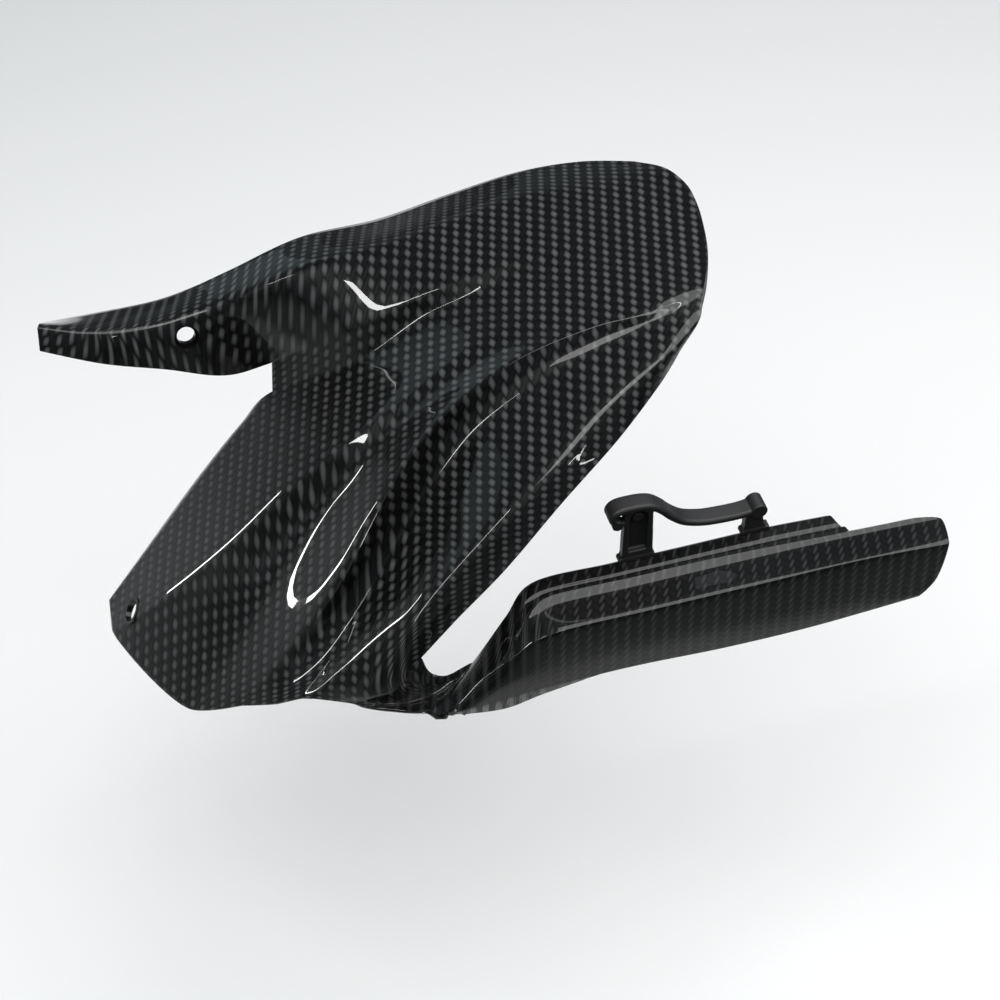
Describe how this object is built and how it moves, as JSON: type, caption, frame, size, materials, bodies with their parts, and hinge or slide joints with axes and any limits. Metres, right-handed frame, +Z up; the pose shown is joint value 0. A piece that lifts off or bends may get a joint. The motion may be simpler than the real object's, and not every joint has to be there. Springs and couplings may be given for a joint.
{
  "type": "rear mudguard",
  "caption": "Rear hugger mudguard for a motorbike: ridged carbon shell over the tyre with a side arm, a front tab and a chain guard that carries a hose guide.",
  "frame": {"origin": "centre of the seat of the screw hole in the arm", "axes": "+X forward along the machine, +Y to the rider's left, +Z up, as fitted"},
  "size_m": [0.4665, 0.3186, 0.3443],
  "materials": {
    "carbon_shell": "twill carbon fibre under clear gloss lacquer",
    "guide_plastic": "satin black moulded plastic"
  },
  "bodies": {
    "root": {"mudguard_shell": "carbon_shell", "hose_guide": "guide_plastic"}
  },
  "joints": []
}
